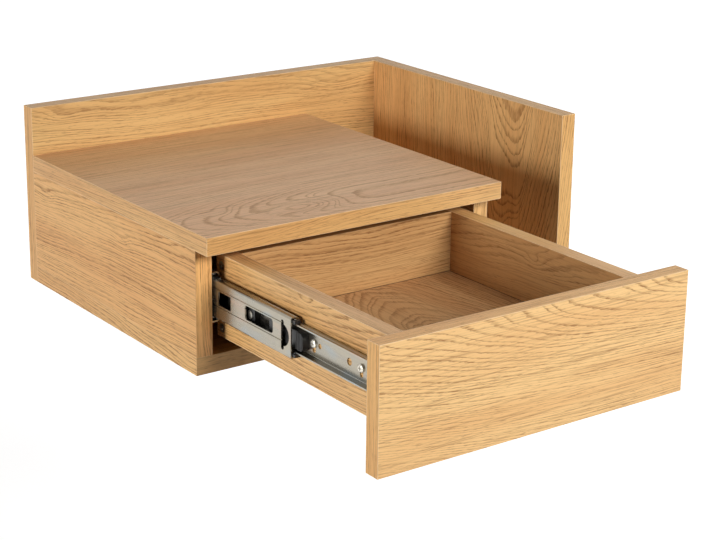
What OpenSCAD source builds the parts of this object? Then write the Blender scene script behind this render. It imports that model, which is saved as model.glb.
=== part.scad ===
// Wall-hung nightstand: a drawer cabinet, an open side slot and a tall side wing on one back panel.
// The drawer runs on a pair of three-rail ball slides and is drawn fully open.
// Origin: middle of the four wall screw holes, on the wall face. +X right, -Y out of the wall, +Z up.

/* [Cabinet] */
// Thickness of the cabinet boards
board = 16; // [15:0.5:19]
// Width of the drawer cabinet
cabinet_w = 315; // [290:1:420]
// Clear width of the open slot between the cabinet and the side wing
slot_w = 89; // [50:1:140]
// Height of the top surface above the underside
top_height = 127.5; // [125:0.5:170]
// Rise of the back panel and the side wing above the top surface
upstand = 46.5; // [25:0.5:90]
// Distance from the wall to the front edges of the cabinet sides
cabinet_depth = 316; // [300:1:400]
// How far the top board reaches past the face of the closed drawer
top_lip = 1; // [0:0.5:5]

/* [Wall fixing] */
// Distance between the wall screw holes, side to side
wall_dx = 220; // [120:1:230]
// Distance between the wall screw holes, up and down
wall_dz = 60; // [30:1:70]
// Diameter of a wall screw hole
wall_hole_d = 5.5; // [4:0.5:8]
// Diameter of the countersink of a wall screw hole
wall_sink_d = 11; // [9:0.5:14]

/* [Drawer] */
// Thickness of the drawer boards
drawer_board = 15; // [14:0.5:18]
// Gap between the drawer front and the top board above it
front_gap = 3; // [2:0.5:5]
// Height of the drawer front's lower edge above the underside
front_rise = 2.5; // [0:0.5:6]
// How far the drawer front stays inside the cabinet's outline on each side
front_inset = 0.5; // [0:0.5:3]
// Gap between the closed drawer front and the cabinet sides
front_standoff = 3; // [1:0.5:5]
// Gap between the drawer sides and the top board
box_headroom = 9.5; // [6:0.5:25]
// Gap between the bottom board and the drawer sides
box_lift = 12; // [8:1:16]
// Length of the drawer sides
box_len = 256; // [252:1:270]
// Thickness of the drawer floor
floor_t = 3; // [3:0.5:5]
// Height of the floor groove above the lower edge of the drawer sides
floor_lift = 14; // [10:0.5:16]
// Depth of the floor groove
groove = 6; // [4:0.5:7]

/* [Slides] */
// Space that a slide fills between the cabinet side and the drawer side
slide_w = 13; // [12.7:0.1:14]
// Height of the cabinet rail
rail_h = 45; // [44:0.5:47]
// Length of the cabinet rail and of the drawer rail
rail_len = 250; // [245:1:255]
// Length of the middle rail
middle_len = 240; // [230:1:242]
// Way of the drawer from closed to fully open
travel = 240; // [220:1:245]
// Distance from the cabinet's front edge to the front end of the cabinet rail
rail_setback = 4; // [2:0.5:8]
// Height of the slide's centre line above the middle of the drawer sides
rail_rise = 1; // [-2:0.5:2]
// Sheet thickness of the rails
sheet = 1.2; // [1:0.1:1.3]
// Diameter of the bearing balls
ball_d = 4; // [3.8:0.1:4.1]
// Number of balls in one row of a cage
balls_in_row = 9; // [5:1:9]
// Distance between two balls of a row
ball_pitch = 12.5; // [8:0.5:12.5]

/* [Fasteners] */
// Diameter of the board screws
screw_d = 7; // [5:0.5:7]
// Length of the board screws
screw_len = 50; // [40:1:55]
// Diameter of the dowels
dowel_d = 8; // [6:0.5:8]
// Length of the dowels
dowel_len = 30; // [20:1:34]
// Diameter of the cam housings
cam_d = 15; // [12:0.5:15]
// Distance from the drawer front to the middle of a cam housing
cam_reach = 24; // [20:1:30]
// Diameter of the rail screws
rail_screw_d = 3.5; // [3:0.1:4]
// Length of the rail screws under the head
rail_screw_len = 12; // [8:0.5:13]

/* [Hidden] */

$fn = 48;
// Room between pieces that are pushed into one another
fit = 0.1;
// How far a cutter reaches past the face that it opens
over = 1;

// Cabinet places, from the left face, the wall and the underside
overall_w = cabinet_w + slot_w + board;
overall_h = top_height + upstand;
inner_h = top_height - 2 * board;
wing_x = cabinet_w + slot_w;
mid_x = cabinet_w / 2;
fix_z = board + inner_h / 2;
top_under = top_height - board;
top_front = cabinet_depth + front_standoff + drawer_board + top_lip;

// Drawer places, with the drawer open
front_back = cabinet_depth + front_standoff + travel;
front_face = front_back + drawer_board;
box_x = board + slide_w;
box_far_x = cabinet_w - box_x;
box_h = inner_h - box_lift - box_headroom;
box_z = board + box_lift;
box_top = box_z + box_h;
box_rear = front_back - box_len;
floor_z = box_z + floor_lift;
side_mid = drawer_board / 2;

// Slide section, from the cabinet side and from the slide's centre line
slide_z = box_z + box_h / 2 + rail_rise;
track_gap = 0.05;
track_r = ball_d / 2 + track_gap;
track_depth = sheet / 4;
track_step = sheet + 2 * track_r - track_depth;
web_gap = 1;
middle_x = sheet + web_gap;
outer_ball = [6.75, rail_h / 2 - sheet - track_r];
inner_ball = [7.6, outer_ball[1] - track_step];
middle_half = rail_h / 2 - track_step;
drawer_half = middle_half - track_step;
drawer_web_x = slide_w - sheet;
flange_tip_x = inner_ball[0] - ball_d / 2;
bend_r = 2;
hook_end = -15;

// Slide places along its length, from the wall, with the drawer open
cabinet_rail_front = cabinet_depth - rail_setback;
cabinet_rail_rear = cabinet_rail_front - rail_len;
middle_front = cabinet_rail_front + travel / 2;
middle_rear = middle_front - middle_len;
drawer_rail_front = front_back - 1;
drawer_rail_rear = drawer_rail_front - rail_len;
outer_cage_back = 3;
inner_cage_proud = 4;
outer_cage_front = cabinet_rail_front - outer_cage_back;
inner_cage_front = middle_front + inner_cage_proud;
row_end = 6;
cage_len = (balls_in_row - 1) * ball_pitch + 2 * row_end;

// Cages
cage_t = 0.5;
cage_strip = 0.6;
black_cage_t = 0.8;
black_strip = 1;
cage_lip = 1.3;
bridge_len = 18;
black_bridge = [22, 14];

// Middle rail cut-outs, back from its front end, and the band pressed into its web, above the centre line
band_lift = 2.5;
band_half = 7.8;
band_line = 1;
band_depth = 0.6;
window_from = 26;
window_len = 42;
window_h = 12.4;
window_r = 2.8;
far_hole_from = 90;
far_hole_len = 19.5;
far_hole_r = 0.8;
notch_from = 2.5;
notch_r = 9.5;
notch_slot = [4, 25.6];
stop_tab = [5.1, 1.2, 1.6];
stop_tab_lift = 0.3;

// Drawer rail holes, back from the drawer front
drawer_screw_from = [44, 108, 225];
drawer_slot = [4.4, 10];
large_hole_from = 60;
large_hole_d = 6.3;
small_hole_from = 100;
small_hole_d = 4.4;
pan_head = [7, 2, 5];

// Cabinet rail holes, back from the cabinet's front edge
cabinet_screw_from = [37, 133, 229];
sunk_head = [6.8, 1.7];
long_hole_step = 24;
long_hole_from = [cabinet_screw_from[0] + long_hole_step, cabinet_screw_from[1] + long_hole_step,
    cabinet_screw_from[2] - long_hole_step];
long_hole = [9, 4.4];

// Release lever, measured from its rivet and from the slide's centre line
lever_from = 192;
lever_pivot = drawer_rail_front - lever_from;
lever_x = [6.5, 11.5];
rivet_d = 4;
rivet_head = [7.6, 0.8];
frame_z = [-9.8, 8.2];
frame_r = 3;
frame_wall = 1.7;
bar_half = 6.4;
spring_len = 24;
spring_half = 8.2;
spring_wall = 1.4;
eye_end = 28.5;
waist_at = 44;
waist_r = 10;
waist_half = 3;
neck_half = 5.5;
head = [51, 78];
head_z = [-8.6, 6.4];
head_r = 3;
shoulder_at = 60;
shoulder_len = 9;
shoulder_z = -10.8;
pad_len = 10;
pad_x = 5.2;
grip = 1;
seat_gap = 0.3;

// Fastener places and details
screw_head = [10, 4];
screw_tip = [2, 4];
hex_socket = [4.6, 3];
row_rear = 70;
row_setback = 36;
row_front = cabinet_depth - row_setback;
side_screw_inset = 18;
side_screw_z = [board + side_screw_inset, top_under - side_screw_inset];
wing_screw_inset = 24;
wing_screw_z = [board + wing_screw_inset, (board + overall_h) / 2, overall_h - wing_screw_inset];
top_screw_inset = 60;
top_screw_x = [top_screw_inset, cabinet_w / 2, cabinet_w - top_screw_inset];
bottom_screw_x = concat(top_screw_x, [cabinet_w + slot_w / 2]);
box_screw_inset = [8, 10];
back_box_z = [box_z + box_screw_inset[0], box_top - box_screw_inset[1]];
front_dowel_inset = [6, 10];
front_dowel_z = [box_z + front_dowel_inset[0], box_top - front_dowel_inset[1]];
front_dowel_len = 24;
dowel_in_front = 10;
small_screw = [5, 50, 8, 3];
small_socket = [3, 2];
cam_depth = 12;
cam_bolt = [5, 6, 7];
cam_bolt_head = 2;
bumper_depth = 4.1;
bumper_peg_d = 3;
bumper_peg_z = 12;

// Blocks and places in the cabinet's own measures

// Block between two distances on each axis: from the left face, from the wall, from the underside
module slab(x, f, z) {
    translate([x[0] - mid_x, -f[1], z[0] - fix_z])
        cube([x[1] - x[0], f[1] - f[0], z[1] - z[0]]);
}

// Puts its children at a distance from the left face, from the wall and from the underside
module at(x, f, z) {
    translate([x - mid_x, -f, z - fix_z]) children();
}

// Turns what points up so that it points out of the wall
module outwards() {
    rotate([90, 0, 0]) children();
}

// Turns what points up so that it points right, or left for side = 1
module sideways(side = 0) {
    rotate([0, side == 0 ? 90 : -90, 0]) children();
}

// Board fasteners, each pointing up with its head flush at zero

module board_screw() {
    difference() {
        union() {
            cylinder(d1 = screw_head[0], d2 = screw_d, h = screw_head[1]);
            cylinder(d = screw_d, h = screw_len - screw_tip[1]);
            translate([0, 0, screw_len - screw_tip[1]])
                cylinder(d1 = screw_d, d2 = screw_tip[0], h = screw_tip[1]);
        }
        translate([0, 0, -over]) cylinder(d = hex_socket[0], h = hex_socket[1] + over, $fn = 6);
    }
}

module board_screw_bore() {
    cylinder(d1 = screw_head[0] + 2 * fit, d2 = screw_d + 2 * fit, h = screw_head[1]);
    translate([0, 0, -over]) cylinder(d = screw_d + 2 * fit, h = screw_len + fit + over);
}

module slim_screw() {
    difference() {
        union() {
            cylinder(d1 = small_screw[2], d2 = small_screw[0], h = small_screw[3]);
            cylinder(d = small_screw[0], h = small_screw[1]);
        }
        translate([0, 0, -over]) cylinder(d = small_socket[0], h = small_socket[1] + over, $fn = 6);
    }
}

module slim_screw_bore() {
    cylinder(d1 = small_screw[2] + 2 * fit, d2 = small_screw[0] + 2 * fit, h = small_screw[3]);
    translate([0, 0, -over]) cylinder(d = small_screw[0] + 2 * fit, h = small_screw[1] + fit + over);
}

// Dowel with chamfered ends, from zero upwards
module dowel(length) {
    end = 1;
    cylinder(d1 = dowel_d - 2 * end, d2 = dowel_d, h = end);
    translate([0, 0, end]) cylinder(d = dowel_d, h = length - 2 * end);
    translate([0, 0, length - end]) cylinder(d1 = dowel_d, d2 = dowel_d - 2 * end, h = end);
}

module dowel_bore(length) {
    translate([0, 0, -fit]) cylinder(d = dowel_d + 2 * fit, h = length + 2 * fit);
}

// Runs its children at every screw that comes through the back panel
module each_back_screw() {
    for (x = [board / 2, cabinet_w - board / 2], z = side_screw_z) at(x, 0, z) outwards() children();
    for (x = top_screw_x) at(x, 0, top_height - board / 2) outwards() children();
    for (x = bottom_screw_x) at(x, 0, board / 2) outwards() children();
    for (z = wing_screw_z) at(wing_x + board / 2, 0, z) outwards() children();
}

// Runs its children at every screw that comes up through the bottom board
module each_bottom_screw() {
    for (x = [board / 2, cabinet_w - board / 2, wing_x + board / 2], f = [row_rear, row_front])
        at(x, f, 0) children();
}

// Runs its children at the lower end of every dowel between the sides and the top board
module each_top_dowel() {
    for (x = [board / 2, cabinet_w - board / 2], f = [row_rear, (row_rear + row_front) / 2, row_front])
        at(x, f, top_under - (dowel_len - dowel_in_front)) children();
}

// Cabinet boards

module top_board() {
    color("burlywood") difference() {
        slab([0, cabinet_w], [board, top_front], [top_under, top_height]);
        each_back_screw() board_screw_bore();
        each_top_dowel() dowel_bore(dowel_len);
    }
}

// Cabinet side: 0 is the left one, 1 the right one
module cabinet_side(side) {
    x = side == 0 ? 0 : cabinet_w - board;
    difference() {
        slab([x, x + board], [board, cabinet_depth], [board, top_under]);
        each_back_screw() board_screw_bore();
        each_bottom_screw() board_screw_bore();
        each_top_dowel() dowel_bore(dowel_len);
        each_cabinet_rail_screw() rail_screw_bore(sunk_head[1] - sheet);
    }
}

module left_side() {
    color("burlywood") cabinet_side(0);
}

module right_side() {
    color("burlywood") cabinet_side(1);
}

module bottom_board() {
    color("burlywood") difference() {
        slab([0, overall_w], [board, cabinet_depth], [0, board]);
        each_back_screw() board_screw_bore();
        each_bottom_screw() board_screw_bore();
    }
}

module back_panel() {
    color("burlywood") difference() {
        slab([0, overall_w], [0, board], [0, overall_h]);
        each_back_screw() board_screw_bore();
        for (x = [-wall_dx / 2, wall_dx / 2], z = [-wall_dz / 2, wall_dz / 2])
            translate([x, 0, z]) outwards() wall_hole();
    }
}

// Hole for a wall screw, with its countersink on the drawer's side
module wall_hole() {
    sink_h = (wall_sink_d - wall_hole_d) / 2;
    translate([0, 0, -over]) cylinder(d = wall_hole_d, h = board + 2 * over);
    translate([0, 0, board - sink_h]) cylinder(d1 = wall_hole_d, d2 = wall_sink_d, h = sink_h);
    translate([0, 0, board]) cylinder(d = wall_sink_d, h = over);
}

module side_wing() {
    color("burlywood") difference() {
        slab([wing_x, overall_w], [board, cabinet_depth], [board, overall_h]);
        each_back_screw() board_screw_bore();
        each_bottom_screw() board_screw_bore();
    }
}

module back_screws() {
    color("dimgray") each_back_screw() board_screw();
}

module bottom_screws() {
    color("dimgray") each_bottom_screw() board_screw();
}

module top_dowels() {
    color("wheat") each_top_dowel() dowel(dowel_len);
}

// Slides. The right slide is the left one turned over about its length.
// Sections are drawn with x from the cabinet side and y from the centre line.

// Puts its children on the cabinet side, at the slide's centre line: 0 is left, 1 is right
module on_slide(side) {
    at(side == 0 ? board : cabinet_w - board, 0, slide_z) rotate([0, side == 0 ? 0 : 180, 0]) children();
}

// Draws a section from one distance to another in front of the wall
module run(f0, f1) {
    translate([0, -f0, 0]) rotate([90, 0, 0]) linear_extrude(f1 - f0) children();
}

// Draws a side view, x rearwards and y up, from one distance to another off the cabinet side
module plate(x0, x1) {
    translate([x0, 0, 0]) rotate([90, 0, 90]) linear_extrude(x1 - x0) children();
}

module both_halves() {
    children();
    mirror([0, 1]) children();
}

// Strip of sheet bent round a centre, from one angle to another of at most a half turn
module bent_strip(r_in, from, to) {
    r_out = r_in + sheet;
    reach = 2 * r_out;
    middle = (from + to) / 2;
    intersection() {
        difference() {
            circle(r = r_out);
            circle(r = r_in);
        }
        polygon([[0, 0],
            reach * [cos(from), sin(from)],
            reach * [cos(middle), sin(middle)],
            reach * [cos(to), sin(to)]]);
    }
}

// Upper half of a rail whose flange ends in a hook round a ball: web face at x, outer half height
module hooked_half(x, half, ball) {
    translate([x, 0]) square([sheet, half - bend_r]);
    translate([x + bend_r, half - bend_r]) bent_strip(bend_r - sheet, 90, 180);
    translate([x + bend_r, half - sheet]) square([ball[0] - x - bend_r, sheet]);
    translate(ball) bent_strip(track_r, hook_end, 90);
}

module cabinet_rail_section() {
    both_halves() hooked_half(0, rail_h / 2, outer_ball);
}

module middle_rail_section() {
    both_halves() difference() {
        hooked_half(middle_x, middle_half, inner_ball);
        translate(outer_ball) circle(r = track_r);
    }
}

module drawer_rail_section() {
    both_halves() difference() {
        union() {
            translate([drawer_web_x, 0]) square([sheet, drawer_half - bend_r]);
            translate([slide_w - bend_r, drawer_half - bend_r]) bent_strip(bend_r - sheet, 0, 90);
            translate([flange_tip_x, drawer_half - sheet]) square([slide_w - bend_r - flange_tip_x, sheet]);
        }
        translate(inner_ball) circle(r = track_r);
    }
}

// Hole with round ends: centre, overall length and width, lying along the slide or standing
module round_slot(centre, length, width, standing = false) {
    half = (length - width) / 2;
    translate(centre) rotate(standing ? 90 : 0) {
        translate([-half, -width / 2]) square([2 * half, width]);
        for (end = [-half, half]) translate([end, 0]) circle(d = width);
    }
}

// Runs its children at every screw of the cabinet rails, pointing into the cabinet side from the web's back
module each_cabinet_rail_screw() {
    for (side = [0, 1], from = cabinet_screw_from)
        on_slide(side) translate([0, from - cabinet_depth, 0]) sideways(1) children();
}

// Bore in a board for a rail screw, with the part of its sunk head that reaches the board
module rail_screw_bore(head_h = 0) {
    translate([0, 0, -over]) cylinder(d = rail_screw_d + 2 * fit, h = rail_screw_len + fit + over);
    if (head_h > 0) {
        mouth_d = rail_screw_d + (sunk_head[0] - rail_screw_d) * head_h / sunk_head[1];
        cylinder(d1 = mouth_d + 2 * fit, d2 = rail_screw_d + 2 * fit, h = head_h);
    }
}

// Flat-headed rail screw, its head flush with the inner face of the web
module sunk_rail_screw() {
    difference() {
        union() {
            translate([0, 0, -sheet]) cylinder(d1 = sunk_head[0], d2 = rail_screw_d, h = sunk_head[1]);
            cylinder(d = rail_screw_d, h = rail_screw_len);
        }
        translate([0, 0, -sheet]) cross_recess(0.8);
    }
}

// Cross recess cut into a screw head from zero upwards
module cross_recess(depth) {
    width = 0.8;
    length = 3.6;
    for (turn = [0, 90]) rotate(turn)
        translate([-length / 2, -width / 2, -over]) cube([length, width, depth + over]);
}

module cabinet_rail(side) {
    color("silver") on_slide(side) difference() {
        run(cabinet_rail_rear, cabinet_rail_front) cabinet_rail_section();
        for (from = cabinet_screw_from) translate([0, from - cabinet_depth, 0]) sideways(1)
            translate([0, 0, -sheet]) cylinder(d1 = sunk_head[0] + 2 * fit,
                d2 = rail_screw_d + 2 * fit, h = sunk_head[1]);
        for (from = cabinet_screw_from) translate([0, from - cabinet_depth, 0]) sideways(1)
            translate([0, 0, -sheet - over]) cylinder(d = rail_screw_d + 2 * fit, h = sheet + 2 * over);
        plate(-over, sheet + over) for (from = long_hole_from)
            round_slot([from - cabinet_depth, 0], long_hole[0], long_hole[1]);
        plate(-over, sheet + over) each_bumper_peg() circle(d = bumper_peg_d + 2 * fit);
    }
}

module left_cabinet_rail() {
    cabinet_rail(0);
}

module right_cabinet_rail() {
    cabinet_rail(1);
}

module cabinet_rail_screws() {
    color("gainsboro") each_cabinet_rail_screw() sunk_rail_screw();
}

// Runs its children at the pegs of the rail bumper, in a side view of the cabinet rail
module each_bumper_peg() {
    for (z = [-bumper_peg_z, bumper_peg_z]) translate([-cabinet_rail_rear - bumper_len() / 2, z]) children();
}

// The closed middle rails come to rest against the rubber bumpers
function bumper_len() = rail_len - middle_len - seat_gap;

// Rubber stops pegged into the back ends of the cabinet rails
module rail_bumpers() {
    height = rail_h - 2 * bend_r;
    color("black") for (side = [0, 1]) on_slide(side) {
        translate([sheet, -cabinet_rail_rear - bumper_len(), -height / 2])
            cube([bumper_depth, bumper_len(), height]);
        plate(0, sheet + fit) each_bumper_peg() circle(d = bumper_peg_d);
    }
}

module middle_rail(side) {
    color("silver") on_slide(side) {
        difference() {
            run(middle_rear, middle_front) middle_rail_section();
            plate(0, middle_x + sheet + over) translate([-middle_front, 0]) middle_rail_holes();
            plate(0, middle_x + band_depth) for (z = [-band_half, band_half])
                translate([notch_from + notch_r - middle_front, band_lift + z - band_line / 2])
                    square([middle_len, band_line]);
        }
        translate([middle_x + sheet - fit, stop_y(), sheet + stop_tab_lift - drawer_half]) cube(stop_tab);
    }
}

// The lever's shoulder stands just behind the middle rail's stop tab when the drawer is open
function stop_y() = -lever_pivot - shoulder_at - seat_gap - stop_tab[1];

// Cut-outs of the middle rail's web, x back from its front end
module middle_rail_holes() {
    band_z = [band_lift - window_h / 2, band_lift + window_h / 2];
    round_rect([window_from, window_from + window_len], band_z, window_r);
    round_rect([far_hole_from, far_hole_from + far_hole_len], band_z, far_hole_r);
    intersection() {
        translate([notch_from + notch_r, 0]) circle(r = notch_r);
        translate([0, -notch_r]) square([notch_from + notch_r, 2 * notch_r]);
    }
    round_slot([notch_from + notch_r, 0], notch_slot[1], notch_slot[0], true);
}

module left_middle_rail() {
    middle_rail(0);
}

module right_middle_rail() {
    middle_rail(1);
}

module drawer_rail(side) {
    color("silver") on_slide(side) difference() {
        run(drawer_rail_rear, drawer_rail_front) drawer_rail_section();
        plate(drawer_web_x - over, slide_w + over) translate([-front_back, 0]) {
            for (from = drawer_screw_from)
                round_slot([from, -(drawer_slot[1] - drawer_slot[0]) / 2], drawer_slot[1], drawer_slot[0], true);
            translate([large_hole_from, 0]) circle(d = large_hole_d);
            translate([small_hole_from, 0]) circle(d = small_hole_d);
        }
        translate([drawer_web_x - over, -lever_pivot, 0]) sideways()
            cylinder(d = rivet_d + 2 * fit, h = sheet + 2 * over);
    }
}

module left_drawer_rail() {
    drawer_rail(0);
}

module right_drawer_rail() {
    drawer_rail(1);
}

// Runs its children at every screw of the drawer rails, pointing into the drawer side from the web's back
module each_drawer_rail_screw() {
    for (side = [0, 1], from = drawer_screw_from)
        on_slide(side) translate([slide_w, from - front_back, 0]) sideways() children();
}

// Pan-headed screw whose head sits on the inner face of the drawer rail's web
module pan_rail_screw() {
    crown = 0.7;
    translate([0, 0, -sheet]) difference() {
        union() {
            translate([0, 0, -pan_head[1]]) cylinder(d1 = pan_head[2], d2 = pan_head[0], h = crown);
            translate([0, 0, crown - pan_head[1]]) cylinder(d = pan_head[0], h = pan_head[1] - crown);
            cylinder(d = rail_screw_d, h = rail_screw_len + sheet);
        }
        translate([0, 0, -pan_head[1]]) cross_recess(1);
    }
}

module drawer_rail_screws() {
    color("gainsboro") each_drawer_rail_screw() pan_rail_screw();
}

// Rivets that the release levers turn on
module lever_rivets() {
    color("gray") for (side = [0, 1]) on_slide(side)
        translate([lever_x[0] - fit - rivet_head[1], -lever_pivot, 0]) sideways() {
            cylinder(d = rivet_head[0], h = rivet_head[1]);
            cylinder(d = rivet_d, h = slide_w - fit - lever_x[0] + fit + rivet_head[1]);
        }
}

// Balls of one cage: the two rows at a ball centre, from the cage's front end
module ball_rows(ball, cage_front) {
    for (row = [-1, 1], i = [0:balls_in_row - 1])
        translate([ball[0], -(cage_front - row_end - i * ball_pitch), row * ball[1]])
            sphere(d = ball_d);
}

// Strips that hold the two rows: inner edge at x, pockets open towards the rail's hook
module cage_strips(x, strip, ball, cage_front) {
    difference() {
        for (row = [-1, 1])
            translate([x, -cage_front, row * ball[1] - strip / 2])
                cube([ball[0] + cage_lip - x, cage_len, strip]);
        for (i = [0:balls_in_row - 1])
            translate([ball[0], -(cage_front - row_end - i * ball_pitch), -rail_h / 2])
                cylinder(r = track_r, h = rail_h);
    }
}

// Steel cage between the cabinet rail and the middle rail: strips joined by a bridge at each end
module outer_cage(side) {
    x = sheet + (web_gap - cage_t) / 2;
    half = outer_ball[1] + cage_strip / 2;
    color("gray") on_slide(side) {
        cage_strips(x, cage_strip, outer_ball, outer_cage_front);
        for (end = [0, cage_len - bridge_len])
            translate([x, end - outer_cage_front, -half]) cube([cage_t, bridge_len, 2 * half]);
    }
}

// Black moulded cage between the middle rail and the drawer rail: strips, front blocks and a bridge
module inner_cage(side) {
    x = middle_x + sheet + fit * 2;
    half = inner_ball[1] + black_strip / 2;
    block = [inner_ball[0] + cage_lip - x, row_end - track_r - 0.5, 2.6];
    color("black") on_slide(side) {
        cage_strips(x, black_strip, inner_ball, inner_cage_front);
        translate([x, cage_len - black_bridge[0] - black_bridge[1] - inner_cage_front, -half])
            cube([black_cage_t, black_bridge[1], 2 * half]);
        for (row = [-1, 1])
            translate([x, -inner_cage_front, row * inner_ball[1] - block[2] / 2]) cube(block);
    }
}

module left_outer_cage() {
    outer_cage(0);
}

module right_outer_cage() {
    outer_cage(1);
}

module left_inner_cage() {
    inner_cage(0);
}

module right_inner_cage() {
    inner_cage(1);
}

module left_outer_balls() {
    color("white") on_slide(0) ball_rows(outer_ball, outer_cage_front);
}

module right_outer_balls() {
    color("white") on_slide(1) ball_rows(outer_ball, outer_cage_front);
}

module left_inner_balls() {
    color("white") on_slide(0) ball_rows(inner_ball, inner_cage_front);
}

module right_inner_balls() {
    color("white") on_slide(1) ball_rows(inner_ball, inner_cage_front);
}

// Rectangle with round corners, between two distances on each axis
module round_rect(x, y, r) {
    translate([x[0] + r, y[0]]) square([x[1] - x[0] - 2 * r, y[1] - y[0]]);
    translate([x[0], y[0] + r]) square([x[1] - x[0], y[1] - y[0] - 2 * r]);
    for (a = [x[0] + r, x[1] - r], b = [y[0] + r, y[1] - r]) translate([a, b]) circle(r = r);
}

// Side view of the release lever, x rearwards from its rivet: spring loop, bar, eye, waist and head
module lever_outline() {
    inner_half = spring_half - spring_wall;
    difference() {
        union() {
            round_rect([-bar_half, spring_len], [-spring_half, spring_half], frame_r);
            round_rect([-waist_at, bar_half], frame_z, frame_r);
            translate([-head[0] - head_r, -neck_half])
                square([head[0] + head_r - waist_at, 2 * neck_half]);
        }
        round_rect([bar_half, spring_len - spring_wall], [-inner_half, inner_half], frame_r - spring_wall);
        round_rect([-eye_end, -bar_half], [frame_z[0] + frame_wall, frame_z[1] - frame_wall],
            frame_r - frame_wall);
        for (z = [-1, 1]) translate([-waist_at, z * (waist_r + waist_half)]) circle(r = waist_r);
    }
    round_rect([-head[1], -head[0]], head_z, head_r);
    polygon([[-shoulder_at, head_z[0] + head_r],
        [-shoulder_at, shoulder_z],
        [-shoulder_at + grip, shoulder_z],
        [-shoulder_at + shoulder_len, head_z[0] + head_r]]);
}

// Moulded lever that frees the drawer rail from the middle rail when its pad is pressed
module release_lever(side) {
    color("black") on_slide(side) translate([0, -lever_pivot, 0]) {
        difference() {
            union() {
                plate(lever_x[0], lever_x[1]) lever_outline();
                plate(pad_x, lever_x[1]) round_rect([-head[1], pad_len - head[1]], head_z, head_r);
            }
            translate([lever_x[0] - over, 0, 0]) sideways()
                cylinder(d = rivet_d + 2 * track_gap, h = lever_x[1] - lever_x[0] + 2 * over);
            for (y = [grip : 2 * grip : pad_len - grip])
                translate([pad_x - over, y - head[1], head_z[0] - over])
                    cube([over + grip / 2, grip, head_z[1] - head_z[0] + 2 * over]);
        }
    }
}

module left_release_lever() {
    release_lever(0);
}

module right_release_lever() {
    release_lever(1);
}

// Drawer

// Runs its children at each dowel and cam bolt line of the drawer front: x and height given
module on_front_line(side, z) {
    at(side == 0 ? box_x + side_mid : box_far_x - side_mid, front_back, z) children();
}

module each_front_dowel() {
    for (side = [0, 1], z = front_dowel_z) on_front_line(side, z)
        translate([0, front_dowel_len - dowel_in_front, 0]) outwards() children();
}

// Bore for a dowel that points out of the wall
module front_dowel_bore() {
    dowel_bore(front_dowel_len);
}

module drawer_front() {
    color("burlywood") difference() {
        slab([front_inset, cabinet_w - front_inset], [front_back, front_face],
            [front_rise, top_under - front_gap]);
        slab([box_x + drawer_board - groove, box_far_x - drawer_board + groove],
            [front_back - over, front_back + groove], [floor_z, floor_z + floor_t + 2 * fit]);
        each_front_dowel() front_dowel_bore();
        for (side = [0, 1]) on_front_line(side, cam_z()) outwards()
            translate([0, 0, -over]) cylinder(d = cam_bolt[0] + 2 * fit, h = dowel_in_front + fit + over);
    }
}

// Height of the cam housings: the middle of the drawer sides
function cam_z() = box_z + box_h / 2;

// Places its children at a cam housing, pointing into the drawer side from its inner face
module at_cam(side) {
    at(side == 0 ? box_x + drawer_board : box_far_x - drawer_board, front_back - cam_reach, cam_z())
        sideways(1 - side) children();
}

// Drawer side: 0 is the left one, 1 the right one
module drawer_side(side) {
    x = side == 0 ? box_x : box_far_x - drawer_board;
    inner = side == 0 ? box_x + drawer_board : box_far_x - drawer_board;
    color("burlywood") difference() {
        slab([x, x + drawer_board], [box_rear, front_back], [box_z, box_top]);
        slab([inner - (side == 0 ? groove : over), inner + (side == 0 ? over : groove)],
            [box_rear - over, front_back + over], [floor_z, floor_z + floor_t + 2 * fit]);
        each_front_dowel() front_dowel_bore();
        at_cam(side) translate([0, 0, -over]) cylinder(d = cam_d + 2 * fit, h = cam_depth + fit + over);
        on_front_line(side, cam_z()) translate([0, cam_reach, 0]) outwards()
            cylinder(d = cam_bolt[2] + 2 * fit, h = cam_reach + over);
        each_back_box_screw() slim_screw_bore();
        each_drawer_rail_screw() rail_screw_bore();
    }
}

module drawer_left_side() {
    drawer_side(0);
}

module drawer_right_side() {
    drawer_side(1);
}

// Runs its children at every screw that holds the drawer back, pointing in from the drawer's outside
module each_back_box_screw() {
    for (side = [0, 1], z = back_box_z)
        at(side == 0 ? box_x : box_far_x, box_rear + side_mid, z) sideways(side) children();
}

module drawer_back() {
    color("burlywood") difference() {
        slab([box_x + drawer_board, box_far_x - drawer_board], [box_rear, box_rear + drawer_board],
            [box_z, box_top]);
        slab([box_x, box_far_x], [box_rear + drawer_board - groove, box_rear + drawer_board + over],
            [floor_z, floor_z + floor_t + 2 * fit]);
        each_back_box_screw() slim_screw_bore();
    }
}

// Thin floor that sits in the grooves of all four walls
module drawer_floor() {
    edge = drawer_board - groove + 0.5;
    color("burlywood")
        slab([box_x + edge, box_far_x - edge], [box_rear + edge, front_back + groove - 0.5],
            [floor_z + fit, floor_z + fit + floor_t]);
}

module drawer_dowels() {
    color("wheat") each_front_dowel() dowel(front_dowel_len);
}

// Round housings that pull the cam bolts tight, open towards the drawer front
module drawer_cam_housings() {
    color("silver") for (side = [0, 1]) at_cam(side) difference() {
        cylinder(d = cam_d, h = cam_depth);
        translate([0, 0, drawer_board / 2]) rotate([90, 0, 0])
            cylinder(d = cam_bolt[2] + 2 * fit, h = cam_d);
        cross_recess(2);
    }
}

// Bolts screwed into the drawer front, their heads inside the cam housings
module drawer_cam_bolts() {
    color("gray") for (side = [0, 1]) on_front_line(side, cam_z())
        translate([0, cam_reach - cam_bolt_head, 0]) outwards() {
            cylinder(d = cam_bolt[2], h = cam_bolt_head);
            cylinder(d = cam_bolt[1], h = cam_reach - cam_bolt_head);
            cylinder(d = cam_bolt[0], h = cam_reach - cam_bolt_head + dowel_in_front);
        }
}

module drawer_back_screws() {
    color("dimgray") each_back_box_screw() slim_screw();
}

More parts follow.
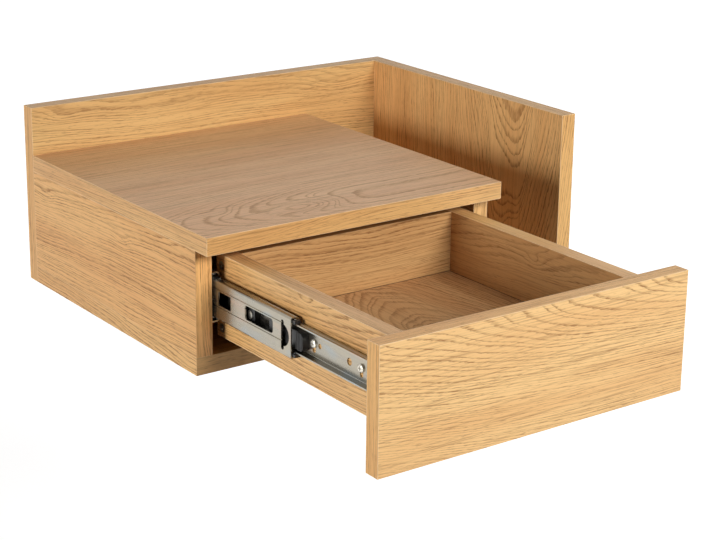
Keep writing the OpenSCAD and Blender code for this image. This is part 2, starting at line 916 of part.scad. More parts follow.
top_board();
left_side();
right_side();
bottom_board();
back_panel();
side_wing();
back_screws();
bottom_screws();
top_dowels();
left_cabinet_rail();
right_cabinet_rail();
cabinet_rail_screws();
rail_bumpers();
drawer_front();
drawer_left_side();
drawer_right_side();
drawer_back();
drawer_floor();
drawer_dowels();
drawer_cam_housings();
drawer_cam_bolts();
drawer_back_screws();
left_drawer_rail();
right_drawer_rail();
drawer_rail_screws();
lever_rivets();
left_middle_rail();
right_middle_rail();
left_outer_cage();
right_outer_cage();
left_outer_balls();
right_outer_balls();
left_inner_cage();
right_inner_cage();
left_inner_balls();
right_inner_balls();
left_release_lever();
right_release_lever();
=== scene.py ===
import math

import bpy
from mathutils import Matrix, Vector


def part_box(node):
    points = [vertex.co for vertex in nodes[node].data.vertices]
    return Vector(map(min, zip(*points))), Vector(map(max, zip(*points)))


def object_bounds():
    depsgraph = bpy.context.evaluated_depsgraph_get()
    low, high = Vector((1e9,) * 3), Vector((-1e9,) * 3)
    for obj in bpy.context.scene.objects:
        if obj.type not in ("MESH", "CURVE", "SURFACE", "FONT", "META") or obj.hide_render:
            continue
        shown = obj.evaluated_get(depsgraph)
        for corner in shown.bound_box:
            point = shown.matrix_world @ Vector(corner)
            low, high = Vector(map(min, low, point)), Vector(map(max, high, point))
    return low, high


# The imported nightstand: oak-look boards, a drawer on ball slides, an open side slot
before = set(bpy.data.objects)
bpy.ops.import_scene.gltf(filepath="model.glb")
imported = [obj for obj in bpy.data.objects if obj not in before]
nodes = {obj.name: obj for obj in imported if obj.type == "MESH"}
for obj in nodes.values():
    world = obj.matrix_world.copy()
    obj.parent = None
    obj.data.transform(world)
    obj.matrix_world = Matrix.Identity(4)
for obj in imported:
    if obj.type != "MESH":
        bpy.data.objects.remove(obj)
cad_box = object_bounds()


# Node helpers

# Sockets of the mix node, whose names repeat: first value, second value and result
MIX_VECTORS = (4, 5, 1)
MIX_COLORS = (6, 7, 2)


def start_material(name):
    """Empty material with its node tree."""
    material = bpy.data.materials.new(name)
    material.use_nodes = True
    tree = material.node_tree
    tree.nodes.clear()
    return material, tree


def add(tree, kind, inputs=None, **settings):
    """Adds a node. A value that is a socket is linked, any other is set."""
    node = tree.nodes.new(kind)
    for key, value in settings.items():
        setattr(node, key, value)
    for key, value in (inputs or {}).items():
        if isinstance(value, bpy.types.NodeSocket):
            tree.links.new(value, node.inputs[key])
        else:
            node.inputs[key].default_value = value
    return node


def math_node(tree, operation, *values):
    inputs = {i: value for i, value in enumerate(values)}
    return add(tree, "ShaderNodeMath", inputs, operation=operation).outputs[0]


def vector_node(tree, operation, *values):
    inputs = {i: value for i, value in enumerate(values)}
    node = add(tree, "ShaderNodeVectorMath", inputs, operation=operation)
    return node.outputs["Value" if operation in ("LENGTH", "DOT_PRODUCT") else "Vector"]


def split(tree, vector):
    """The X, Y and Z sockets of a vector."""
    return add(tree, "ShaderNodeSeparateXYZ", {0: vector}).outputs


def join(tree, x, y, z):
    return add(tree, "ShaderNodeCombineXYZ", {0: x, 1: y, 2: z}).outputs[0]


def object_place(tree):
    return add(tree, "ShaderNodeTexCoord").outputs["Object"]


def noise(tree, vector, stretch, detail=2.0, roughness=0.5):
    """Noise on a vector that is first multiplied by the numbers of features per metre."""
    scaled = vector_node(tree, "MULTIPLY", vector, stretch)
    return add(tree, "ShaderNodeTexNoise",
               {"Vector": scaled, "Scale": 1.0, "Detail": detail, "Roughness": roughness})


def cloud_value(tree, vector, stretch, detail=2.0, roughness=0.5):
    """Noise as one number, mostly between 0.3 and 0.7."""
    return noise(tree, vector, stretch, detail, roughness).outputs["Fac"]


def remap(tree, value, low, high, to_low=0.0, to_high=1.0):
    """Maps a value smoothly from one range to another and clamps it."""
    node = add(tree, "ShaderNodeMapRange",
               {"Value": value, "From Min": low, "From Max": high, "To Min": to_low, "To Max": to_high},
               interpolation_type="SMOOTHSTEP")
    return node.outputs["Result"]


def mix_color(tree, factor, first, second, blend="MIX"):
    one, other, result = MIX_COLORS
    inputs = {"Factor": factor, one: first, other: second}
    return add(tree, "ShaderNodeMix", inputs, data_type="RGBA", blend_type=blend).outputs[result]


def bump(tree, height, strength, distance, **inputs):
    """Normal of a surface with small heights, distance being the height's size in m."""
    sockets = {"Height": height, "Strength": strength, "Distance": distance, **inputs}
    return add(tree, "ShaderNodeBump", sockets).outputs["Normal"]


def finish_material(tree, inputs):
    """Ends a material with one principled surface."""
    principled = add(tree, "ShaderNodeBsdfPrincipled", inputs)
    output = add(tree, "ShaderNodeOutputMaterial")
    tree.links.new(principled.outputs["BSDF"], output.inputs["Surface"])


# Oak-look laminate. Colours are linear.

OAK_LIGHT = (0.815, 0.535, 0.241, 1.0)
OAK_WARM = (0.755, 0.453, 0.19, 1.0)
OAK_LINE = (0.33, 0.165, 0.055, 1.0)
OAK_PORE = (0.27, 0.13, 0.042, 1.0)
# Light edge colour: rubbed wear and a painted highlight along the edges
OAK_EDGE_WEAR_AND_HIGHLIGHT = (0.96, 0.70, 0.40, 1.0)
# Near-black painted shade for the joints where the drawer floor meets its walls
JOINT_PAINTED_SHADE = (0.05, 0.025, 0.012, 1.0)
EDGE_BAND = 0.0007
PORE_DEPTH = 0.00012
EMBOSSING = 0.4
PORE_DARKNESS = 0.5

# Roughness of the plain surface, and what a growth line and a fibre add to it
PLAIN_ROUGHNESS = 0.32
LINE_ROUGHNESS = 0.15
FIBRE_ROUGHNESS = 0.14

# Grain features per metre: along the grain, across it and into the board
SWAY = (4.0, 12.0, 12.0)
WOBBLE = (24.0, 70.0, 70.0)
RAGGED = (110.0, 500.0, 500.0)
PORES = (95.0, 1100.0, 1100.0)
PATCHES = (8.0, 40.0, 40.0)
FIBRES = (12.0, 700.0, 700.0)
CLOUDS = (3.5, 26.0, 26.0)
# Spots of the edges' rubbed wear and painted highlight
EDGE_WEAR_AND_HIGHLIGHT_SPOTS = (60.0, 300.0, 300.0)

# How far the log's heart sways and wobbles across the board and into it, and how softly it comes
# level (m)
SWAY_REACH = (0.022, 0.026)
WOBBLE_REACH = (0.0016, 0.0016)
LEVELLING = 0.05

# How many rings their spacing and their ragged sides wander by
UNEVEN_RINGS = 2.0
RAGGED_RINGS = 0.35

# Parts of a ring at which its line is darkest, starts to fade and is gone
LINE_DARKEST = 0.90
LINE_FADES = 0.93
LINE_GONE = 0.99

# Strength of a line between its pores, and what a pore adds to it
LINE_BETWEEN = 0.45
LINE_IN_PORE = 0.65

# Least and most lightening of the edges, part rubbed wear and part painted highlight
EDGE_WEAR_AND_HIGHLIGHT_RANGE = (0.35, 0.75)


def edge_nearness(tree, position, node_name):
    """1 on a board's edges, falling to 0 an edge band's thickness away from them."""
    low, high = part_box(node_name)
    centre = (low + high) / 2
    half = (high - low) / 2
    offset = vector_node(tree, "ABSOLUTE", vector_node(tree, "SUBTRACT", position, centre))
    x, y, z = split(tree, vector_node(tree, "SUBTRACT", half, offset))
    total = math_node(tree, "ADD", math_node(tree, "ADD", x, y), z)
    largest = math_node(tree, "MAXIMUM", math_node(tree, "MAXIMUM", x, y), z)
    nearest_edge = math_node(tree, "SUBTRACT", total, largest)
    return remap(tree, nearest_edge, EDGE_BAND, 0.2 * EDGE_BAND)


def faces(tree, coords, axis):
    """1 where the surface faces along an axis, either way, and 0 elsewhere."""
    facing = split(tree, coords.outputs["Normal"])[axis]
    return math_node(tree, "GREATER_THAN", math_node(tree, "ABSOLUTE", facing), 0.5)


def grain_vector(tree, coords, grain, width, thickness):
    """Coordinates whose X runs along the grain. They are turned on the ends, so that the edge band's
    grain runs along them."""
    position = split(tree, coords.outputs["Object"])
    face = join(tree, position[grain], position[width], position[thickness])
    end = join(tree, position[width], position[thickness], position[grain])
    one, other, result = MIX_VECTORS
    inputs = {"Factor": faces(tree, coords, grain), one: face, other: end}
    return add(tree, "ShaderNodeMix", inputs, data_type="VECTOR").outputs[result]


def swelling(tree, plain, along, across, length, width, height):
    """Depth (m) that a knot or a burl adds to the rings round a place on the board's face."""
    offset = vector_node(tree, "MULTIPLY", vector_node(tree, "SUBTRACT", plain, (along, across, 0.0)),
                         (1.0 / length, 1.0 / width, 0.0))
    far = vector_node(tree, "LENGTH", offset)
    square = math_node(tree, "MULTIPLY", far, far)
    bell = math_node(tree, "EXPONENT", math_node(tree, "MULTIPLY", square, -1.0))
    return math_node(tree, "MULTIPLY", bell, height)


def outside(tree, position, low, high):
    """1 where a place is outside a rectangle on X and Y, 0 inside it."""
    place = split(tree, position)
    result = 0.0
    for axis in (0, 1):
        below = math_node(tree, "LESS_THAN", place[axis], low[axis])
        above = math_node(tree, "GREATER_THAN", place[axis], high[axis])
        result = math_node(tree, "MAXIMUM", result, math_node(tree, "MAXIMUM", below, above))
    return result


def waver(tree, placed, stretch, reach, detail=2.0, roughness=0.5):
    """Offset across the board and into it, in all as wide as its reach (m)."""
    color = noise(tree, placed, stretch, detail, roughness).outputs["Color"]
    centred = vector_node(tree, "SUBTRACT", color, (0.5, 0.5, 0.5))
    return vector_node(tree, "MULTIPLY", centred, (0.0, *reach))


def from_heart(tree, plain, placed, waves, bow):
    """Place seen from the log's heart, which sways, wobbles and bends along the board."""
    sway = waver(tree, placed, SWAY, [waves * part for part in SWAY_REACH])
    wobble = waver(tree, placed, WOBBLE, [waves * part for part in WOBBLE_REACH], 3.0, 0.6)
    bent = vector_node(tree, "ADD", vector_node(tree, "ADD", placed, sway), wobble)
    bend_place, curvature = bow
    past_bend = math_node(tree, "SUBTRACT", split(tree, plain)[0], bend_place)
    bend = math_node(tree, "MULTIPLY", math_node(tree, "MULTIPLY", past_bend, past_bend), -curvature)
    return vector_node(tree, "ADD", bent, join(tree, 0.0, bend, 0.0))


def ring_phase(tree, plain, placed, log, tilt, gap, swells, level_from):
    """How far a place is from one growth ring, 0, to the next, 1. The rings lie round the leaning heart
    at uneven distances, with ragged sides."""
    along, across, deep = split(tree, log)
    leaning = math_node(tree, "SMOOTH_MIN", along, level_from, LEVELLING)
    depth = math_node(tree, "MULTIPLY_ADD", leaning, math.tan(math.radians(tilt)), deep)
    for swell in swells:
        depth = math_node(tree, "ADD", depth, swelling(tree, plain, *swell))
    radius = vector_node(tree, "LENGTH", join(tree, 0.0, across, depth))
    rings = math_node(tree, "MULTIPLY", radius, 1.0 / gap)
    uneven = add(tree, "ShaderNodeTexNoise", {"W": rings, "Scale": 0.4, "Detail": 1.0},
                 noise_dimensions="1D")
    rings = math_node(tree, "MULTIPLY_ADD", uneven.outputs["Fac"], UNEVEN_RINGS, rings)
    rings = math_node(tree, "MULTIPLY_ADD", cloud_value(tree, placed, RAGGED), RAGGED_RINGS, rings)
    return math_node(tree, "FRACT", rings)


def growth_lines(tree, placed, phase, pores, line_start):
    """Dark lines late in each ring, stronger in patches and broken up by the pores along them."""
    rise = remap(tree, phase, line_start, LINE_DARKEST)
    fall = remap(tree, phase, LINE_FADES, LINE_GONE, 1.0, 0.0)
    line = math_node(tree, "MULTIPLY", rise, fall)
    strength = remap(tree, cloud_value(tree, placed, PATCHES), 0.33, 0.62, 0.5, 1.0)
    in_pore = remap(tree, pores, 0.43, 0.57)
    dashes = math_node(tree, "MULTIPLY_ADD", in_pore, LINE_IN_PORE, LINE_BETWEEN)
    return math_node(tree, "MULTIPLY", math_node(tree, "MULTIPLY", line, strength), dashes)


def oak(node_name, axes, heart, tilt, gap=0.0021, tint=(1.0, 1.0, 1.0), swells=(), waves=1.0,
        line_start=0.48, line_depth=0.95, fibres=0.44, edge_lines=1.0, edge_tint=(0.98, 0.90, 0.78),
        wear_and_highlight=1.0, gloss=0.32, bow=(0.0, 0.0), level_from=1.0, shown=None):
    """Oak-look board.

    The axes are those of its grain, width and thickness. The heart is the place of the log's middle in
    them (m), tilt how far the heart leans against the board (degrees) and gap the distance between
    rings (m). The bow is the place along the board where the heart bends and its curvature (1/m), and
    from level_from (m past the heart) on it leans no more. Swells are knots and burls, and waves is how
    strongly the heart sways.

    A later line start makes finer lines. Line depth is how dark they are on the face, edge lines how
    much of them is left on the edges, and fibres how strong the finest streaks are. Wear and highlight
    is how far the edges are lightened, part rubbed wear and part a painted highlight. Shown is the
    rectangle inside the joints, outside which the board is painted dark as shade in the joints."""
    grain, width, thickness = axes
    material, tree = start_material("oak_" + node_name)
    coords = add(tree, "ShaderNodeTexCoord")
    position = coords.outputs["Object"]
    plain = grain_vector(tree, coords, grain, width, thickness)
    placed = vector_node(tree, "SUBTRACT", plain, heart)

    # Growth lines, and the loose pores between them
    log = from_heart(tree, plain, placed, waves, bow)
    phase = ring_phase(tree, plain, placed, log, tilt, gap, swells, level_from)
    pores = cloud_value(tree, placed, PORES, 2.0, 0.6)
    line = growth_lines(tree, placed, phase, pores, line_start)
    on_face = faces(tree, coords, thickness)
    line = math_node(tree, "MULTIPLY", line, remap(tree, on_face, 0.0, 1.0, edge_lines, 1.0))
    loose = remap(tree, pores, 0.60, 0.74)
    fibre = cloud_value(tree, placed, FIBRES, 3.0, 0.65)

    # Colour
    warmth = remap(tree, cloud_value(tree, placed, CLOUDS), 0.33, 0.67)
    body = mix_color(tree, warmth, OAK_LIGHT, OAK_WARM)
    body = mix_color(tree, remap(tree, fibre, 0.46, 0.72, 0.0, fibres), body, OAK_LINE)
    body = mix_color(tree, math_node(tree, "MULTIPLY", line, line_depth), body, OAK_LINE)
    body = mix_color(tree, math_node(tree, "MULTIPLY", loose, PORE_DARKNESS), body, OAK_PORE)
    # Tints of the faces and edges; on some boards they hold painted shade, sheen or light
    tone = mix_color(tree, on_face, (*edge_tint, 1.0), (*tint, 1.0))
    body = mix_color(tree, 1.0, body, tone, "MULTIPLY")
    # Edges painted lighter: part rubbed wear, part a painted highlight where rounded edges catch the
    # light
    edge_wear_and_highlight_amount = remap(tree, cloud_value(tree, placed, EDGE_WEAR_AND_HIGHLIGHT_SPOTS), 0.3, 0.6, *[wear_and_highlight * part for part in EDGE_WEAR_AND_HIGHLIGHT_RANGE])
    edge_wear_and_highlight = math_node(tree, "MULTIPLY", edge_nearness(tree, position, node_name), edge_wear_and_highlight_amount)
    body = mix_color(tree, edge_wear_and_highlight, body, OAK_EDGE_WEAR_AND_HIGHLIGHT)
    if shown:
        # Painted shade: the board goes dark outside the shown rectangle, in its joints
        body = mix_color(tree, outside(tree, position, *shown), body, JOINT_PAINTED_SHADE)

    # Embossed grain on softly rounded edges
    sunk = math_node(tree, "MAXIMUM", line, math_node(tree, "MULTIPLY", loose, 0.8))
    rounded = add(tree, "ShaderNodeBevel", {"Radius": EDGE_BAND}, samples=4).outputs["Normal"]
    height = math_node(tree, "SUBTRACT", 1.0, sunk)
    normal = bump(tree, height, EMBOSSING, PORE_DEPTH, Normal=rounded)
    rough = math_node(tree, "MULTIPLY_ADD", line, LINE_ROUGHNESS, PLAIN_ROUGHNESS)
    rough = math_node(tree, "MULTIPLY_ADD", fibre, FIBRE_ROUGHNESS, rough)
    finish_material(tree, {"Base Color": body, "Roughness": rough, "Normal": normal,
                           "Specular IOR Level": gloss})
    return material


# Knots and burls of a board are places along and across it, with their length, width and height in m
BOARDS = {
    "top_board": dict(
        axes="XYZ", heart=(0.0, -0.298, -0.020), tilt=-7.5, level_from=0.015, waves=0.22,
        # Tint: painted shade from the dim light above, with a painted pinkish sheen
        tint=(0.96, 0.875, 0.93), edge_tint=(0.92, 0.84, 0.72), gloss=0.44,
        line_start=0.55, line_depth=0.66, fibres=0.62,
        swells=((-0.034, -0.299, 0.034, 0.016, 0.0105), (-0.108, -0.276, 0.016, 0.012, 0.003),
                (-0.108, -0.153, 0.020, 0.012, 0.004))),
    "back_panel": dict(
        axes="XZY", heart=(-0.30, 0.135, 0.060), tilt=2.6, gap=0.0023, waves=0.8,
        tint=(0.95, 0.91, 0.81), line_depth=0.72,
        swells=((0.195, 0.090, 0.030, 0.012, 0.005), (-0.125, 0.099, 0.018, 0.008, 0.003))),
    "left_side": dict(
        axes="YZX", heart=(-0.62, 0.060, -0.100), tilt=3.2, gap=0.0026,
        # Edge tint above 1: the front edges are painted lighter, standing in for the light the drawer
        # blocks
        tint=(1.0, 0.89, 0.75), edge_tint=(1.08, 0.95, 0.80), wear_and_highlight=0.3,
        swells=((-0.189, 0.022, 0.014, 0.008, 0.006), (-0.039, 0.030, 0.014, 0.008, 0.005))),
    "right_side": dict(
        axes="YZX", heart=(-0.10, -0.02, 0.080), tilt=3.6, tint=(0.88, 0.80, 0.70)),
    "bottom_board": dict(
        axes="XYZ", heart=(0.30, -0.12, -0.12), tilt=4.0, tint=(1.0, 0.97, 0.92), wear_and_highlight=0.3),
    "side_wing": dict(
        axes="ZYX", heart=(0.02, -0.238, 0.166), tilt=-9.0, gap=0.0022, waves=0.9,
        tint=(1.0, 0.95, 0.90), edge_tint=(0.96, 0.86, 0.70),
        swells=((0.092, -0.062, 0.020, 0.008, 0.006),)),
    "drawer_front": dict(
        axes="XZY", heart=(-0.05, 0.050, -0.498), tilt=4.5, gap=0.0017, waves=0.45, bow=(0.05, 0.3),
        tint=(1.0, 0.98, 0.94), edge_tint=(1.02, 0.90, 0.73), gloss=0.38, line_start=0.60, fibres=0.6),
    "drawer_left_side": dict(
        axes="YZX", heart=(-0.20, 0.050, -0.090), tilt=2.5, waves=0.7,
        # Edge tint and strong edge lightening: painted shade and sheen on the top edge, with a painted
        # highlight along it
        tint=(1.04, 0.99, 0.92), edge_tint=(0.88, 0.78, 0.70), edge_lines=0.6, wear_and_highlight=1.4, gloss=0.40,
        line_start=0.42, fibres=0.6,
        swells=((-0.4376, 0.0345, 0.010, 0.0035, 0.0026),)),
    "drawer_right_side": dict(
        axes="YZX", heart=(-0.36, 0.045, 0.170), tilt=4.0, waves=0.7,
        # Dark tint: painted shade of the drawer's inside
        tint=(0.73, 0.66, 0.63), edge_lines=0.35, gloss=0.40, line_start=0.60, line_depth=0.75,
        swells=((-0.4345, 0.022, 0.012, 0.006, 0.003),)),
    "drawer_back": dict(
        axes="XZY", heart=(-0.25, 0.060, -0.26), tilt=2.2, waves=0.9,
        # Dark tints: painted shade of the drawer's inside, and on the top edge a painted shadow of the
        # gap under the top board
        tint=(0.72, 0.66, 0.61), edge_tint=(0.54, 0.45, 0.35), edge_lines=0.35, wear_and_highlight=0.3),
    "drawer_floor": dict(
        axes="YXZ", heart=(-0.56, 0.010, -0.075), tilt=9.0, gap=0.0022,
        # Dark tint: painted shade of the drawer's inside
        tint=(0.71, 0.63, 0.63), line_start=0.40, fibres=0.6,
        swells=((-0.377, 0.055, 0.030, 0.014, 0.004),),
        # Outside this rectangle the floor is painted dark as shade in its joints
        shown=((-0.1128, -0.5582), (0.1128, -0.3188))),
}


# Metals and plastics. Bright passivated zinc shimmers faintly in blue and rose.

ZINC_BLUSH = (0.42, 0.37, 0.27, 1.0)
ZINC_BLUE = (0.29, 0.34, 0.37, 1.0)
ZINC_ROSE = (0.46, 0.34, 0.27, 1.0)
ZINC_DULL = (0.22, 0.22, 0.23, 1.0)
STEEL = (0.78, 0.78, 0.80, 1.0)
GREASE = (0.60, 0.57, 0.50, 1.0)
RAIL_ZINC = (0.335, 0.312, 0.262, 1.0)
CAGE_STEEL = (0.36, 0.36, 0.37, 1.0)
SCREW_ZINC = (0.72, 0.70, 0.64, 1.0)
CAST_ZINC = (0.55, 0.55, 0.56, 1.0)
PLASTIC = (0.018, 0.018, 0.019, 1.0)
RUBBER = (0.022, 0.021, 0.02, 1.0)
BEECH = (0.70, 0.50, 0.30, 1.0)
BEECH_FLECK = (0.46, 0.29, 0.15, 1.0)
DUST_LIFT = 2.6
DUST_GREY = 0.012


def zinc(name, color, roughness, rolled=(30.0, 30.0, 900.0)):
    """Bright zinc plating with faint rolling lines, a blush in its colour and dull patches."""
    material, tree = start_material(name)
    place = object_place(tree)
    cloud = cloud_value(tree, place, (70.0, 18.0, 70.0), 3.0)
    lines = cloud_value(tree, place, rolled, 2.0, 0.6)
    haze = cloud_value(tree, place, (40.0, 26.0, 90.0), 1.0)
    tone = mix_color(tree, remap(tree, cloud, 0.35, 0.7, 0.0, 0.5), color, ZINC_BLUSH)
    tone = mix_color(tree, remap(tree, haze, 0.52, 0.72, 0.0, 0.55), tone, ZINC_BLUE)
    tone = mix_color(tree, remap(tree, haze, 0.46, 0.30, 0.0, 0.45), tone, ZINC_ROSE)
    tone = mix_color(tree, remap(tree, lines, 0.4, 0.8, 0.0, 0.3), tone, ZINC_DULL)
    rough = math_node(tree, "MULTIPLY_ADD", cloud, 0.22, roughness - 0.11)
    normal = bump(tree, lines, 0.12, 0.00005)
    finish_material(tree, {"Base Color": tone, "Metallic": 1.0, "Roughness": rough, "Normal": normal})
    return material


def polished_steel(name):
    """Bearing steel with the faintest smear of grease."""
    material, tree = start_material(name)
    smear = cloud_value(tree, object_place(tree), (400.0, 400.0, 400.0))
    tone = mix_color(tree, remap(tree, smear, 0.45, 0.7, 0.0, 0.4), STEEL, GREASE)
    rough = remap(tree, smear, 0.3, 0.7, 0.06, 0.2)
    finish_material(tree, {"Base Color": tone, "Metallic": 1.0, "Roughness": rough})
    return material


def moulded(name, color, roughness, grain=1500.0, depth=0.00004):
    """Moulded plastic or rubber with a fine spark texture and dusty patches."""
    material, tree = start_material(name)
    place = object_place(tree)
    spark = cloud_value(tree, place, (grain, grain, grain))
    dust = cloud_value(tree, place, (120.0, 60.0, 120.0), 3.0)
    dusty = (*(DUST_LIFT * part + DUST_GREY for part in color[:3]), 1.0)
    tone = mix_color(tree, remap(tree, dust, 0.5, 0.8, 0.0, 0.5), color, dusty)
    rough = math_node(tree, "MULTIPLY_ADD", dust, 0.2, roughness - 0.1)
    normal = bump(tree, spark, 0.3, depth)
    finish_material(tree, {"Base Color": tone, "Roughness": rough, "Normal": normal})
    return material


def beech(name):
    """Raw dowel wood with fine flecks."""
    material, tree = start_material(name)
    fleck = cloud_value(tree, object_place(tree), (500.0, 500.0, 500.0), 3.0)
    tone = mix_color(tree, remap(tree, fleck, 0.4, 0.75), BEECH, BEECH_FLECK)
    normal = bump(tree, fleck, 0.3, 0.0001)
    finish_material(tree, {"Base Color": tone, "Roughness": 0.7, "Normal": normal})
    return material


def dress(material, *node_names):
    """Gives CAD nodes one material on all their faces."""
    for node_name in node_names:
        data = nodes[node_name].data
        data.materials.clear()
        data.materials.append(material)


def dress_boards():
    for node_name, board in BOARDS.items():
        dress(oak(node_name, **board), node_name)


def dress_slides():
    rail = zinc("zinc_rail", RAIL_ZINC, 0.28)
    cage = zinc("cage_steel", CAGE_STEEL, 0.42)
    plastic = moulded("black_plastic", PLASTIC, 0.42)
    rubber = moulded("black_rubber", RUBBER, 0.75, 900.0, 0.00008)
    ball = polished_steel("bearing_steel")
    for side in ("left_", "right_"):
        dress(rail, side + "cabinet_rail", side + "middle_rail", side + "drawer_rail")
        dress(cage, side + "outer_cage")
        dress(plastic, side + "inner_cage", side + "release_lever")
        dress(ball, side + "outer_balls", side + "inner_balls")
    dress(rubber, "rail_bumpers")


def dress_fittings():
    screw = zinc("screw_zinc", SCREW_ZINC, 0.3, (300.0, 300.0, 300.0))
    cast = zinc("cast_zinc", CAST_ZINC, 0.5, (500.0, 500.0, 500.0))
    dress(screw, "back_screws", "bottom_screws", "cabinet_rail_screws", "drawer_rail_screws",
          "drawer_back_screws", "drawer_cam_bolts", "lever_rivets")
    dress(cast, "drawer_cam_housings")
    dress(beech("dowel_beech"), "top_dowels", "drawer_dowels")


# Studio

CENTRE = Vector((0.03, -0.28, 0.02))
FLOOR_DROP = 0.40
FLOOR_SIZE = 40.0
BEHIND = (0.62, 0.78, 0.0)
WHITE = (1.0, 1.0, 1.0, 1.0)
SKY = (0.97, 0.98, 1.0, 1.0)
FLOOR_TONES = ((0.83, 0.83, 0.83, 1.0), (0.87, 0.87, 0.87, 1.0))
FLOOR_BOUNCE = (0.32, 0.32, 0.32, 1.0)
WARM_LIGHT = (1.0, 0.965, 0.91)

# Least and most strength of the fill, of the backdrop in gloss and of the floor's own glow, and how far
# from the middle of the floor the glow starts to grow and is full (m)
FILL = (0.01, 0.45)
BACKDROP = (0.45, 1.0)
FLOOR_GLOW = (0.70, 1.0)
GLOW_REACH = (0.4, 1.8)


def lamp(name, azimuth, elevation, size, level, distance=2.5, color=(1.0, 1.0, 1.0)):
    """Soft box that faces the nightstand. Azimuth 0 is in front, positive to the right (degrees). At
    level 1 a matt surface that faces the box shows its colour as written."""
    turn = math.radians(azimuth)
    rise = math.radians(elevation)
    away = Vector((math.sin(turn) * math.cos(rise), -math.cos(turn) * math.cos(rise), math.sin(rise)))
    data = bpy.data.lights.new(name, "AREA")
    data.shape = "RECTANGLE"
    data.size, data.size_y = size
    data.energy = level * (math.pi * distance) ** 2
    data.color = color
    holder = bpy.data.objects.new(name, data)
    bpy.context.scene.collection.objects.link(holder)
    holder.location = CENTRE + away * distance
    holder.rotation_euler = (-away).to_track_quat("-Z", "Y").to_euler()
    holder.visible_camera = False


def seen_directly(tree):
    """Light path of a ray, and 1 where it is a shiny ray that no matt surface threw back."""
    path = add(tree, "ShaderNodeLightPath").outputs
    direct = math_node(tree, "LESS_THAN", path["Diffuse Depth"], 0.5)
    return path, math_node(tree, "MULTIPLY", path["Is Glossy Ray"], direct)


def studio_world():
    """Low fill for the object, more of it from behind, and plain white for the camera and for glass.
    Gloss shows the same white backdrop, and the dim side of the room in front of it."""
    world = bpy.data.worlds.new("studio")
    world.use_nodes = True
    tree = world.node_tree
    tree.nodes.clear()
    path, shiny = seen_directly(tree)
    seen = math_node(tree, "MAXIMUM", path["Is Camera Ray"], path["Is Transmission Ray"])
    seen = math_node(tree, "MAXIMUM", seen, shiny)
    direction = add(tree, "ShaderNodeTexCoord").outputs["Generated"]
    behind = vector_node(tree, "DOT_PRODUCT", direction, BEHIND)
    fill = add(tree, "ShaderNodeBackground",
               {"Color": SKY, "Strength": remap(tree, behind, 0.1, 0.9, *FILL)})
    backdrop = remap(tree, behind, -0.5, 0.3, *BACKDROP)
    backdrop = math_node(tree, "MAXIMUM", backdrop, math_node(tree, "SUBTRACT", 1.0, shiny))
    white = add(tree, "ShaderNodeBackground", {"Color": WHITE, "Strength": backdrop})
    mixed = add(tree, "ShaderNodeMixShader", {0: seen, 1: fill.outputs[0], 2: white.outputs[0]})
    output = add(tree, "ShaderNodeOutputWorld")
    tree.links.new(mixed.outputs[0], output.inputs["Surface"])
    bpy.context.scene.world = world


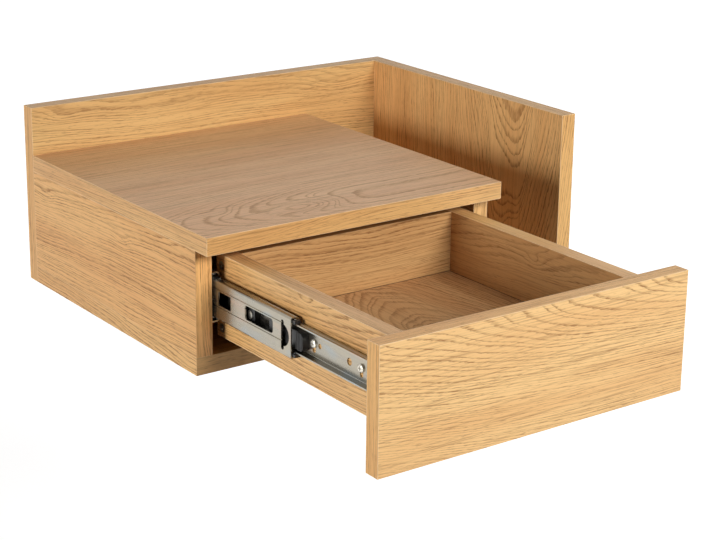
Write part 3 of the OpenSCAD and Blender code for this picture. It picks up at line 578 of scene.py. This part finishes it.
def studio_floor():
    """Pale floor that reads as white, keeps the object's soft shadow and throws little light back up."""
    bpy.ops.object.select_all(action="DESELECT")
    place = (CENTRE.x, CENTRE.y, cad_box[0][2] - FLOOR_DROP)
    bpy.ops.mesh.primitive_plane_add(size=FLOOR_SIZE, location=place)
    floor = bpy.context.object
    floor.name = "floor"
    material, tree = start_material("floor_white")
    position = object_place(tree)
    speck = cloud_value(tree, position, (6.0, 6.0, 6.0))
    pale = add(tree, "ShaderNodeBsdfDiffuse", {"Color": mix_color(tree, speck, *FLOOR_TONES)})
    brightness = remap(tree, vector_node(tree, "LENGTH", position), *GLOW_REACH, *FLOOR_GLOW)
    glow = add(tree, "ShaderNodeEmission", {"Color": WHITE, "Strength": brightness})
    both = add(tree, "ShaderNodeAddShader", {0: pale.outputs[0], 1: glow.outputs[0]})
    path, shiny = seen_directly(tree)
    seen = math_node(tree, "MAXIMUM", path["Is Camera Ray"], shiny)
    matt = add(tree, "ShaderNodeBsdfDiffuse", {"Color": FLOOR_BOUNCE})
    mixed = add(tree, "ShaderNodeMixShader", {0: seen, 1: matt.outputs[0], 2: both.outputs[0]})
    output = add(tree, "ShaderNodeOutputMaterial")
    tree.links.new(mixed.outputs[0], output.inputs["Surface"])
    floor.data.materials.append(material)


# The photograph's camera, fitted to it: its frame, focal length and centre in pixels, and its place in m
FRAME_WIDTH = 716
FRAME_HEIGHT = 540
SENSOR_MM = 36.0
FOCAL_PX = 1848.8
CENTRE_PX = (339.8, 220.0)
CAMERA_PLACE = (-0.90769, -1.57979, 0.51825)
YAW, PITCH, ROLL = (math.radians(angle) for angle in (35.385, 16.798, 0.528))


def camera():
    """Camera turned to the right by the yaw, down by the pitch and then rolled."""
    data = bpy.data.cameras.new("camera")
    data.sensor_width = SENSOR_MM
    data.lens = FOCAL_PX / FRAME_WIDTH * SENSOR_MM
    data.shift_x = (FRAME_WIDTH / 2 - CENTRE_PX[0]) / FRAME_WIDTH
    data.shift_y = (CENTRE_PX[1] - FRAME_HEIGHT / 2) / FRAME_WIDTH
    data.clip_end = 100.0
    holder = bpy.data.objects.new("camera", data)
    bpy.context.scene.collection.objects.link(holder)
    level = Vector((math.sin(YAW), math.cos(YAW), 0.0))
    forward = level * math.cos(PITCH) - Vector((0.0, 0.0, math.sin(PITCH)))
    right = Vector((math.cos(YAW), -math.sin(YAW), 0.0))
    up = right.cross(forward)
    side = right * math.cos(ROLL) + up * math.sin(ROLL)
    top = up * math.cos(ROLL) - right * math.sin(ROLL)
    turned = Matrix((side, top, -forward)).transposed()
    holder.matrix_world = Matrix.Translation(CAMERA_PLACE) @ turned.to_4x4()
    bpy.context.scene.camera = holder


dress_boards()
dress_slides()
dress_fittings()
studio_world()
studio_floor()
lamp("front_softbox", azimuth=10.0, elevation=26.0, size=(1.2, 0.8), level=1.0)
lamp("left_softbox", azimuth=-91.0, elevation=7.0, size=(0.6, 0.9), level=0.63, color=WARM_LIGHT)
camera()
bpy.context.scene.view_settings.view_transform = "Standard"
